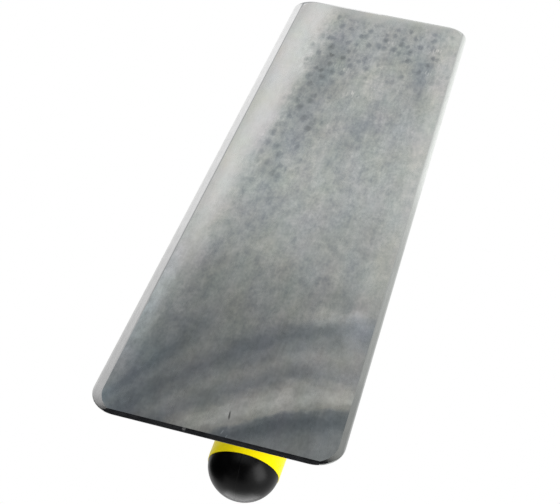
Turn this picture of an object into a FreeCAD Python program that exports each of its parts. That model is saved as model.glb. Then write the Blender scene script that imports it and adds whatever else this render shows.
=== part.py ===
import FreeCAD, Part
import math
import os

# A finishing trowel: a steel blade, a cast aluminium mounting riveted along it, and a two-colour
# handle held on a threaded tang.  All sizes are in millimetres.
# Frame: the sole (working face of the blade) lies on z = 0 and faces -Z, the origin is the middle
# of the sole, +X runs along the blade to the toe, +Z points up to the handle.

# ---- blade ----
blade_length = 356.0
blade_width = 102.0
blade_thickness = 1.0
blade_corner_radius = 12.0
side_bevel_wide = 3.9        # ground strip along the -Y edge of the sole
side_bevel_narrow = 2.7      # ground strip along the +Y edge of the sole
side_bevel_depth = 0.4
end_bevel_width = 2.0        # straight ground strip across the heel and the toe
end_bevel_depth = 0.5

# ---- mounting casting: a flanged rib with the shank growing out of it ----
mounting_side_offset = 3.0   # the whole mounting is riveted this far from the blade's middle line
rib_length = 276.0
rib_width = 31.0
rib_end_width = 15.0
rib_end_taper = 34.0         # length over which the flange narrows at each end
flange_thickness = 3.0
ridge_width = 9.0
ridge_height = 11.0          # above the blade's upper face
ridge_end_setback = 9.0      # from the end of the flange to the start of the ridge
ridge_slope_length = 42.0
ridge_edge_round = 2.0
ridge_root_round = 2.0       # hollow rounding where the ridge meets the flange
ridge_sunk = 1.0             # the ridge starts this far below the top of the flange
flange_corner_round = 6.0
flange_edge_round = 1.0
shank_reach = 38.2           # from the back of the boss to the middle of the foot, along the blade
shank_foot_sunk = 1.0        # the shank starts this far below the top of the flange
shank_width = 14.0
boss_diameter = 21.0
boss_length = 8.0
boss_edge_round = 1.0
boss_step = 0.8              # the shank starts this much thinner than its boss
tang_hole_depth = 15.0

# ---- studs: welded to the blade, peened over the flange ----
stud_stations = 6
stud_diameter = 5.0
stud_head_diameter = 7.6
stud_head_height = 1.3
stud_head_round = 1.0
stud_head_overlap = 0.2      # the body runs this far up inside its head
stud_row_spacing = 21.0
stud_hole_clearance = 0.1    # on the radius
stud_end_margin = 40.0       # from the end of the flange to the first pair

# ---- handle ----
handle_height = 77.3         # the handle's axis above the sole
handle_heel_setback = 42.2   # from the blade's heel edge to the tip of the end cap
handle_length = 132.0
handle_heel_radius = 16.5
dome_length = 15.5
handle_belly_radius = 17.2
handle_middle_radius = 16.1
handle_waist_radius = 13.9
handle_flare_start_radius = 15.3
handle_flare_radius = 15.8
handle_front_round = 2.5
core_stands_proud = 0.25     # the hard body stands this far above the soft cap beside it
seam_middle = 14.0           # where the seam plane crosses the axis, from the tip
seam_rise = 5.0              # the seam moves this far along the axis over one heel radius of height

# ---- soft pieces ----
pad_start = 32.0             # from the tip
pad_length = 74.0
pad_width = 21.0
pad_corner_radius = 9.5
pad_depth = 1.8
pad_proud = 0.3
pad_side_clearance = 0.15
pad_groove_count = 10
pad_groove_width = 1.6
pad_groove_depth = 0.8
cap_bore_diameter = 16.4
cap_bore_start = 7.0         # wall left at the tip of the cap
cap_plug_end = 21.5
cap_plug_clearance = 0.15    # on the radius

# ---- tang and fasteners ----
tang_diameter = 8.0
tang_bore_clearance = 0.3    # on the radius, through the handle
tang_end = 16.5              # from the tip of the cap
tang_end_chamfer = 0.8
tang_hole_relief = 1.0       # air left past the end of the rod in the boss
nut_pocket_diameter = 20.0
nut_pocket_end = 26.5
end_washer_diameter = 18.0
end_washer_thickness = 1.6
nut_across_flats = 13.0
nut_thickness = 6.5
nut_corner_chamfer = 1.0
nut_face_setback = 0.2       # the round face is this much smaller than the flats, on the radius
front_washer_diameter = 24.0
front_washer_thickness = 1.6
washer_edge_round = 0.3
pin_diameter = 3.0
pin_end_chamfer = 0.3
pin_recess = 1.0             # each end stops this far inside the boss
pin_setback = 7.0            # from the boss face to the cross pin

cutter_overshoot = 1.0       # cutting bodies run this far past the faces they open

# ---- placements that follow from the sizes above ----
heel_x = -blade_length / 2.0
tip_x = heel_x + handle_heel_setback
front_x = tip_x + handle_length
boss_x = front_x + front_washer_thickness
axis_y = mounting_side_offset
rib_base_z = blade_thickness
flange_top_z = rib_base_z + flange_thickness
ridge_top_z = rib_base_z + ridge_height
x_axis = FreeCAD.Vector(1, 0, 0)
y_axis = FreeCAD.Vector(0, 1, 0)
z_axis = FreeCAD.Vector(0, 0, 1)


def point(x, y, z):
    return FreeCAD.Vector(x, y, z)


def rounded_rectangle(low_x, high_x, low_y, high_y, radius, z):
    """Closed wire of four lines and four arcs, always in the same order."""
    arc_middle = radius * (1.0 - math.sqrt(0.5))
    edges = [
        Part.makeLine(point(low_x + radius, low_y, z), point(high_x - radius, low_y, z)),
        Part.Arc(point(high_x - radius, low_y, z),
                 point(high_x - arc_middle, low_y + arc_middle, z),
                 point(high_x, low_y + radius, z)).toShape(),
        Part.makeLine(point(high_x, low_y + radius, z), point(high_x, high_y - radius, z)),
        Part.Arc(point(high_x, high_y - radius, z),
                 point(high_x - arc_middle, high_y - arc_middle, z),
                 point(high_x - radius, high_y, z)).toShape(),
        Part.makeLine(point(high_x - radius, high_y, z), point(low_x + radius, high_y, z)),
        Part.Arc(point(low_x + radius, high_y, z),
                 point(low_x + arc_middle, high_y - arc_middle, z),
                 point(low_x, high_y - radius, z)).toShape(),
        Part.makeLine(point(low_x, high_y - radius, z), point(low_x, low_y + radius, z)),
        Part.Arc(point(low_x, low_y + radius, z),
                 point(low_x + arc_middle, low_y + arc_middle, z),
                 point(low_x + radius, low_y, z)).toShape(),
    ]
    return Part.Wire(edges)


def prism(corners, direction):
    """Solid swept from a closed polygon."""
    wire = Part.makePolygon(corners + [corners[0]])
    return Part.Face(wire).extrude(direction)


def cylinder_along_x(diameter, start_x, end_x):
    """Round bar on the handle's axis."""
    base = point(start_x, axis_y, handle_height)
    return Part.makeCylinder(diameter / 2.0, end_x - start_x, base, x_axis)


# ---------------------------------------------------------------- blade

def end_bevel_cutter(end_sign):
    """Wedge that grinds the straight strip across one end of the sole."""
    outer_x = blade_length / 2.0
    overshoot = cutter_overshoot
    slope = end_bevel_depth / end_bevel_width
    corners = [
        point(end_sign * (outer_x - end_bevel_width - overshoot), -blade_width, -overshoot * slope),
        point(end_sign * (outer_x + overshoot), -blade_width, end_bevel_depth + overshoot * slope),
        point(end_sign * (outer_x + overshoot), -blade_width, -overshoot * slope),
    ]
    return prism(corners, y_axis * (2.0 * blade_width))


def make_blade():
    half_length = blade_length / 2.0
    half_width = blade_width / 2.0
    sole = rounded_rectangle(-half_length, half_length, -half_width + side_bevel_wide,
                             half_width - side_bevel_narrow, blade_corner_radius, 0.0)
    bevel_top = rounded_rectangle(-half_length, half_length, -half_width, half_width,
                                  blade_corner_radius, side_bevel_depth)
    ground_layer = Part.makeLoft([sole, bevel_top], True, True)
    upper_layer = Part.Face(bevel_top).extrude(z_axis * (blade_thickness - side_bevel_depth))
    blade = ground_layer.fuse(upper_layer).removeSplitter()
    blade = blade.cut(end_bevel_cutter(1))
    return blade.cut(end_bevel_cutter(-1))


# ---------------------------------------------------------------- mounting casting

def make_flange():
    half_length = rib_length / 2.0
    taper_x = half_length - rib_end_taper
    half_width = rib_width / 2.0
    half_end = rib_end_width / 2.0
    corners = []
    for x, y in [(-half_length, -half_end), (-taper_x, -half_width), (taper_x, -half_width),
                 (half_length, -half_end), (half_length, half_end), (taper_x, half_width),
                 (-taper_x, half_width), (-half_length, half_end)]:
        corners.append(point(x, axis_y + y, rib_base_z))
    flange = prism(corners, z_axis * flange_thickness)
    upright = [edge for edge in flange.Edges
               if abs(edge.Vertexes[0].Z - edge.Vertexes[-1].Z) > flange_thickness / 2.0
               and abs(edge.CenterOfMass.x) > taper_x + 1.0]
    flange = flange.makeFillet(flange_corner_round, upright)
    top_rim = [edge for edge in flange.Edges
               if edge.BoundBox.ZMin > flange_top_z - 0.01]
    return flange.makeFillet(flange_edge_round, top_rim)


def make_ridge():
    half_length = rib_length / 2.0 - ridge_end_setback
    slope_x = half_length - ridge_slope_length
    half_width = ridge_width / 2.0
    sunk_z = flange_top_z - ridge_sunk
    corners = []
    for x, z in [(-half_length, sunk_z), (half_length, sunk_z), (half_length, flange_top_z),
                 (slope_x, ridge_top_z), (-slope_x, ridge_top_z), (-half_length, flange_top_z)]:
        corners.append(point(x, axis_y - half_width, z))
    ridge = prism(corners, y_axis * ridge_width)
    top_long = [edge for edge in ridge.Edges
                if edge.BoundBox.ZMax > ridge_top_z - 0.01 and edge.BoundBox.XLength > 1.0]
    return ridge.makeFillet(ridge_edge_round, top_long)


def make_rib():
    """Flange and ridge in one, with the roots of the ridge rounded out."""
    rib = make_flange().fuse(make_ridge())
    roots = [edge for edge in rib.Edges
             if abs(edge.CenterOfMass.z - flange_top_z) < 0.01
             and abs(abs(edge.CenterOfMass.y - axis_y) - ridge_width / 2.0) < 0.01
             and edge.BoundBox.XLength > rib_length / 2.0]
    return rib.makeFillet(ridge_root_round, roots)


def shank_section(x, z, lean_degrees, half_depth, half_width):
    """Ellipse across the shank; lean 0 faces straight up, lean 90 faces the handle.
    Its depth lies in the plane of the bend and is never less than its width."""
    lean = math.radians(lean_degrees)
    across = point(math.cos(lean), 0, math.sin(lean))
    centre = point(x, axis_y, z)
    ellipse = Part.Ellipse(centre + across * half_depth, centre + y_axis * half_width, centre)
    return Part.Wire(ellipse.toShape())


def make_shank():
    """Gooseneck lofted from the rib up and back to the boss on the handle's axis."""
    half_width = shank_width / 2.0
    boss_end_x = boss_x + boss_length
    rise = handle_height - flange_top_z
    # x as a share of the reach from the boss to the foot, z as a share of the rise
    stations = [
        (1.06, 0.00, 0.0, 25.0, half_width + 0.4),
        (1.03, 0.13, 3.0, 16.5, half_width),
        (0.97, 0.33, 7.0, 11.6, half_width),
        (0.84, 0.58, 18.0, 10.2, half_width),
        (0.60, 0.80, 42.0, 9.7, half_width + 0.6),
        (0.30, 0.94, 70.0, 9.6, half_width + 1.4),
    ]
    wires = []
    for share_x, share_z, lean, half_depth, section_half_width in stations:
        wires.append(shank_section(boss_end_x + share_x * shank_reach,
                                   flange_top_z - shank_foot_sunk + share_z * rise,
                                   lean, half_depth, section_half_width))
    wires.append(shank_section(boss_end_x, handle_height, 90.0, boss_diameter / 2.0 - boss_step,
                               boss_diameter / 2.0 - boss_step))
    return Part.makeLoft(wires, True, False)


def stud_positions():
    """Middle points of all studs: pairs either side of the ridge."""
    first_x = -rib_length / 2.0 + stud_end_margin
    pitch = (rib_length - 2.0 * stud_end_margin) / (stud_stations - 1)
    positions = []
    for station in range(stud_stations):
        for side in (-1, 1):
            positions.append((first_x + station * pitch, axis_y + side * stud_row_spacing / 2.0))
    return positions


def make_casting():
    boss = cylinder_along_x(boss_diameter, boss_x, boss_x + boss_length)
    boss_rim = [edge for edge in boss.Edges if edge.BoundBox.XLength < 0.01]
    boss = boss.makeFillet(boss_edge_round, boss_rim)
    casting = make_rib().fuse([make_shank(), boss])
    hole_diameter = stud_diameter + 2.0 * stud_hole_clearance
    hole_length = flange_thickness + 2.0 * cutter_overshoot
    for x, y in stud_positions():
        casting = casting.cut(Part.makeCylinder(hole_diameter / 2.0, hole_length,
                                                point(x, y, rib_base_z - cutter_overshoot)))
    casting = casting.cut(cylinder_along_x(tang_diameter, boss_x - cutter_overshoot,
                                           boss_x + tang_hole_depth))
    return casting.cut(make_pin_bar(boss_diameter * 2.0))


# ---------------------------------------------------------------- studs, tang and fasteners

def make_studs():
    studs = []
    for x, y in stud_positions():
        body = Part.makeCylinder(stud_diameter / 2.0, flange_thickness + stud_head_overlap,
                                 point(x, y, rib_base_z))
        head = Part.makeCylinder(stud_head_diameter / 2.0, stud_head_height,
                                 point(x, y, flange_top_z))
        head_middle_z = flange_top_z + stud_head_height / 2.0
        rim = [edge for edge in head.Edges
               if edge.BoundBox.ZLength < 0.01 and edge.BoundBox.ZMin > head_middle_z]
        head = head.makeFillet(stud_head_round, rim)
        studs.append(body.fuse(head).removeSplitter())
    return Part.makeCompound(studs)


def make_pin_bar(length):
    centre = point(boss_x + pin_setback, axis_y - length / 2.0, handle_height)
    return Part.makeCylinder(pin_diameter / 2.0, length, centre, y_axis)


def make_tang():
    rod = cylinder_along_x(tang_diameter, tip_x + tang_end,
                           boss_x + tang_hole_depth - tang_hole_relief)
    ends = [edge for edge in rod.Edges if edge.BoundBox.XLength < 0.01]
    rod = rod.makeChamfer(tang_end_chamfer, ends)
    return rod.cut(make_pin_bar(tang_diameter * 2.0))


def make_cross_pin():
    pin = make_pin_bar(boss_diameter - 2.0 * pin_recess)
    ends = [edge for edge in pin.Edges if edge.BoundBox.YLength < 0.01]
    return pin.makeChamfer(pin_end_chamfer, ends)


def make_washer(diameter, thickness, start_x):
    disc = cylinder_along_x(diameter, start_x, start_x + thickness)
    rims = [edge for edge in disc.Edges if edge.BoundBox.XLength < 0.01]
    disc = disc.makeFillet(washer_edge_round, rims)
    bore = cylinder_along_x(tang_diameter, start_x - cutter_overshoot,
                            start_x + thickness + cutter_overshoot)
    return disc.cut(bore)


def make_end_washer():
    return make_washer(end_washer_diameter, end_washer_thickness,
                       tip_x + nut_pocket_end - end_washer_thickness)


def make_front_washer():
    return make_washer(front_washer_diameter, front_washer_thickness, front_x)


def make_end_nut():
    face_x = tip_x + nut_pocket_end - end_washer_thickness - nut_thickness
    corner_radius = nut_across_flats / math.sqrt(3.0)
    corners = []
    for step in range(6):
        angle = math.radians(60.0 * step + 30.0)
        corners.append(point(face_x, axis_y + corner_radius * math.cos(angle),
                             handle_height + corner_radius * math.sin(angle)))
    nut = prism(corners, x_axis * nut_thickness)
    face = point(face_x, axis_y, handle_height)
    rounding = Part.makeCone(nut_across_flats / 2.0 - nut_face_setback, corner_radius, nut_corner_chamfer,
                             face, x_axis)
    blank = Part.makeCylinder(corner_radius, nut_thickness - nut_corner_chamfer,
                              face + x_axis * nut_corner_chamfer, x_axis)
    rounding = rounding.fuse(blank)
    nut = nut.common(rounding)
    return nut.cut(cylinder_along_x(tang_diameter, face_x - cutter_overshoot,
                                    face_x + nut_thickness + cutter_overshoot))


# ---------------------------------------------------------------- handle

def handle_solid(offset):
    """Whole turned shape of the handle, grown outwards by offset."""
    tip = point(tip_x - offset, axis_y, handle_height)
    dome_centre = point(tip_x + dome_length, axis_y, handle_height)
    dome_end = dome_centre + z_axis * (handle_heel_radius + offset)
    ellipse = Part.Ellipse(dome_end, tip, dome_centre)
    dome = Part.ArcOfEllipse(ellipse, 0.0, math.pi / 2.0).toShape()
    # share of the handle's length, radius
    body_stations = [(0.34, handle_belly_radius), (0.62, handle_middle_radius),
                     (0.85, handle_waist_radius), (0.945, handle_flare_start_radius)]
    body_points = [dome_end]
    for share, radius in body_stations:
        body_points.append(point(tip_x + share * handle_length, axis_y,
                                 handle_height + radius + offset))
    body_points.append(point(front_x, axis_y, handle_height + handle_flare_radius + offset))
    body_curve = Part.BSplineCurve()
    body_curve.interpolate(Points=body_points, InitialTangent=x_axis,
                           FinalTangent=point(1.0, 0, -0.1))
    front_corner = body_points[-1]
    front_middle = point(front_x, axis_y, handle_height)
    edges = [dome, body_curve.toShape(), Part.makeLine(front_corner, front_middle),
             Part.makeLine(front_middle, tip)]
    outline = Part.Wire(Part.sortEdges(edges)[0])
    return Part.Face(outline).revolve(front_middle, x_axis, 360.0)


def heel_side_block(shift):
    """Everything on the heel side of the tilted seam plane."""
    reach = 60.0
    slope = seam_rise / handle_heel_radius
    seam_x = tip_x + seam_middle + shift
    corners = [
        point(seam_x - reach * slope, axis_y - reach, handle_height - reach),
        point(seam_x + reach * slope, axis_y - reach, handle_height + reach),
        point(tip_x - reach, axis_y - reach, handle_height + reach),
        point(tip_x - reach, axis_y - reach, handle_height - reach),
    ]
    return prism(corners, y_axis * (2.0 * reach))


def pad_window(clearance):
    """Upright prism with round ends that marks out the palm pad from above."""
    outline = rounded_rectangle(tip_x + pad_start - clearance,
                                tip_x + pad_start + pad_length + clearance,
                                axis_y - pad_width / 2.0 - clearance,
                                axis_y + pad_width / 2.0 + clearance,
                                pad_corner_radius + clearance, handle_height)
    return Part.Face(outline).extrude(z_axis * (3.0 * handle_belly_radius))


def make_handle_core():
    core = handle_solid(core_stands_proud)
    front_rim = [edge for edge in core.Edges
                 if edge.BoundBox.XLength < 0.01 and edge.BoundBox.XMin > front_x - 0.01
                 and edge.BoundBox.ZLength > handle_flare_radius]
    core = core.makeFillet(handle_front_round, front_rim)
    core = core.cut(heel_side_block(0.0))
    bore_diameter = tang_diameter + 2.0 * tang_bore_clearance
    core = core.cut(cylinder_along_x(bore_diameter, tip_x, front_x + cutter_overshoot))
    core = core.cut(cylinder_along_x(nut_pocket_diameter, tip_x, tip_x + nut_pocket_end))
    pocket = pad_window(pad_side_clearance).cut(handle_solid(-pad_depth))
    return core.cut(pocket)


def make_palm_pad():
    outer = handle_solid(core_stands_proud + pad_proud)
    pad = outer.common(pad_window(0.0)).cut(handle_solid(-pad_depth))
    groove_floor = handle_solid(core_stands_proud + pad_proud - pad_groove_depth)
    pitch = pad_length / (pad_groove_count + 1)
    for groove in range(1, pad_groove_count + 1):
        slab = Part.makeBox(pad_groove_width, 4.0 * handle_belly_radius, 4.0 * handle_belly_radius,
                            point(tip_x + pad_start + groove * pitch - pad_groove_width / 2.0,
                                  axis_y - 2.0 * handle_belly_radius, handle_height))
        pad = pad.cut(slab.cut(groove_floor))
    return pad


def make_end_cap():
    cap = handle_solid(0.0).common(heel_side_block(0.0))
    plug_diameter = nut_pocket_diameter - 2.0 * cap_plug_clearance
    plug = cylinder_along_x(plug_diameter, tip_x + cap_bore_start, tip_x + cap_plug_end)
    cap = cap.fuse(plug).removeSplitter()
    bore = cylinder_along_x(cap_bore_diameter, tip_x + cap_bore_start,
                            tip_x + cap_plug_end + cutter_overshoot)
    return cap.cut(bore)


pieces = {
    "blade": make_blade,
    "mounting_casting": make_casting,
    "studs": make_studs,
    "tang_rod": make_tang,
    "cross_pin": make_cross_pin,
    "front_washer": make_front_washer,
    "handle_core": make_handle_core,
    "palm_pad": make_palm_pad,
    "end_washer": make_end_washer,
    "end_nut": make_end_nut,
    "end_cap": make_end_cap,
}

os.makedirs("parts", exist_ok=True)
for name, make_piece in pieces.items():
    shape = make_piece()
    shape.exportStep("parts/" + name + ".step")
    box = shape.BoundBox
    print(name, "solids", len(shape.Solids), "valid", shape.isValid(),
          "volume %.1f" % shape.Volume,
          "x %.2f..%.2f y %.2f..%.2f z %.2f..%.2f" % (box.XMin, box.XMax, box.YMin, box.YMax,
                                                      box.ZMin, box.ZMax))
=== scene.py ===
import bpy
import math
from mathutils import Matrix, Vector


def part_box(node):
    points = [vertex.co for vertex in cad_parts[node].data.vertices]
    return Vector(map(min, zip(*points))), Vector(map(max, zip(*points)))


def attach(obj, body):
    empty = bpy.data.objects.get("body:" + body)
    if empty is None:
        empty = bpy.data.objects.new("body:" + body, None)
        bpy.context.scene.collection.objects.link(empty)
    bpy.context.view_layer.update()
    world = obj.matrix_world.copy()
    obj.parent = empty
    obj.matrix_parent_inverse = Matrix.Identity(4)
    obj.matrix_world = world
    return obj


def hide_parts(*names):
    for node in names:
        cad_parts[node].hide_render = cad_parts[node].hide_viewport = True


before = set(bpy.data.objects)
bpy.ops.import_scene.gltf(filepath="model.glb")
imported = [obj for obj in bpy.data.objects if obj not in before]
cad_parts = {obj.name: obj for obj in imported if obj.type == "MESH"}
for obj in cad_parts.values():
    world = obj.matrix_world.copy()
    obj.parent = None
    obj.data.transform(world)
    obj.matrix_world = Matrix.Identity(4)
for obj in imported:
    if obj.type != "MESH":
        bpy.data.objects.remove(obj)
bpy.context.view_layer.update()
print("frame loaded:", sorted(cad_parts))


def newMaterial(name, metallic=0.0):
    material = bpy.data.materials.new(name)
    material.use_nodes = True
    tree = material.node_tree
    shader = next(node for node in tree.nodes if node.type == "BSDF_PRINCIPLED")
    shader.inputs["Metallic"].default_value = metallic
    return material, tree, shader


def addNode(tree, kind, inputs=None, **settings):
    node = tree.nodes.new(kind)
    for setting, value in settings.items():
        setattr(node, setting, value)
    for socket, value in (inputs or {}).items():
        if isinstance(value, bpy.types.NodeSocket):
            tree.links.new(value, node.inputs[socket])
        else:
            node.inputs[socket].default_value = value
    return node


def objectPlace(tree, scale=(1, 1, 1), shift=(0, 0, 0)):
    place = addNode(tree, "ShaderNodeTexCoord").outputs["Object"]
    mapping = addNode(tree, "ShaderNodeMapping",
                      {"Vector": place, "Scale": scale, "Location": shift})
    return mapping.outputs["Vector"]


def axis(tree, place, name):
    return addNode(tree, "ShaderNodeSeparateXYZ", {0: place}).outputs[name]


def flatPoint(tree, along, across):
    return addNode(tree, "ShaderNodeCombineXYZ", {0: along, 1: across}).outputs[0]


def noise(tree, place, scale, detail=3.0, roughness=0.5, output="Fac"):
    node = addNode(tree, "ShaderNodeTexNoise", {"Vector": place, "Scale": scale, "Detail": detail,
                                                "Roughness": roughness})
    return node.outputs[output]


def layer(tree, scale, stretch=(1, 1, 1), shift=(0, 0, 0), **settings):
    return noise(tree, objectPlace(tree, scale=stretch, shift=shift), scale, **settings)


def calc(tree, operation, first, second=0.0, third=0.0):
    node = addNode(tree, "ShaderNodeMath", {0: first, 1: second, 2: third}, operation=operation)
    return node.outputs[0]


def product(tree, first, *others):
    for other in others:
        first = calc(tree, "MULTIPLY", first, other)
    return first


def total(tree, first, *others):
    for other in others:
        first = calc(tree, "ADD", first, other)
    return first


def vectorCalc(tree, operation, first, second=(0, 0, 0), third=(0, 0, 0), output="Vector"):
    node = addNode(tree, "ShaderNodeVectorMath", {0: first, 1: second, 2: third},
                   operation=operation)
    return node.outputs[output]


def remap(tree, value, low, high, toLow=0.0, toHigh=1.0, smooth=False):
    node = addNode(tree, "ShaderNodeMapRange", {"Value": value, "From Min": low, "From Max": high,
                                                "To Min": toLow, "To Max": toHigh})
    if smooth:
        node.interpolation_type = "SMOOTHSTEP"
    return node.outputs["Result"]


def swing(tree, value, toLow, toHigh):
    # noise keeps mostly between these two values
    return remap(tree, value, 0.3, 0.7, toLow, toHigh)


def mixColour(tree, factor, first, second, blend="MIX"):
    node = addNode(tree, "ShaderNodeMix", data_type="RGBA", blend_type=blend)
    for socket, value in ((0, factor), (6, first), (7, second)):
        if isinstance(value, bpy.types.NodeSocket):
            tree.links.new(value, node.inputs[socket])
        else:
            node.inputs[socket].default_value = value
    return node.outputs[2]


def scaleColour(tree, tone, gain):
    node = addNode(tree, "ShaderNodeVectorMath", {0: tone, "Scale": gain}, operation="SCALE")
    return node.outputs[0]


def bump(tree, height, strength, distance, normal=None):
    inputs = {"Height": height, "Strength": strength, "Distance": distance}
    if normal is not None:
        inputs["Normal"] = normal
    return addNode(tree, "ShaderNodeBump", inputs).outputs["Normal"]


def colour(red, green=None, blue=None):
    if green is None:
        green = blue = red
    return (red, green, blue, 1.0)


def toneRamp(tree, value, tones):
    ramp = addNode(tree, "ShaderNodeValToRGB", {"Fac": value})
    ramp.color_ramp.interpolation = "EASE"
    elements = ramp.color_ramp.elements
    elements[0].position, elements[1].position = tones[0][0], tones[-1][0]
    for position, tone in tones[1:-1]:
        elements.new(position)
    for element, (position, tone) in zip(elements, tones):
        element.color = colour(tone)
    return ramp.outputs["Color"]


def setFinish(tree, shader, tone, roughness, normal):
    tree.links.new(tone, shader.inputs["Base Color"])
    tree.links.new(roughness, shader.inputs["Roughness"])
    tree.links.new(normal, shader.inputs["Normal"])


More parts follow.
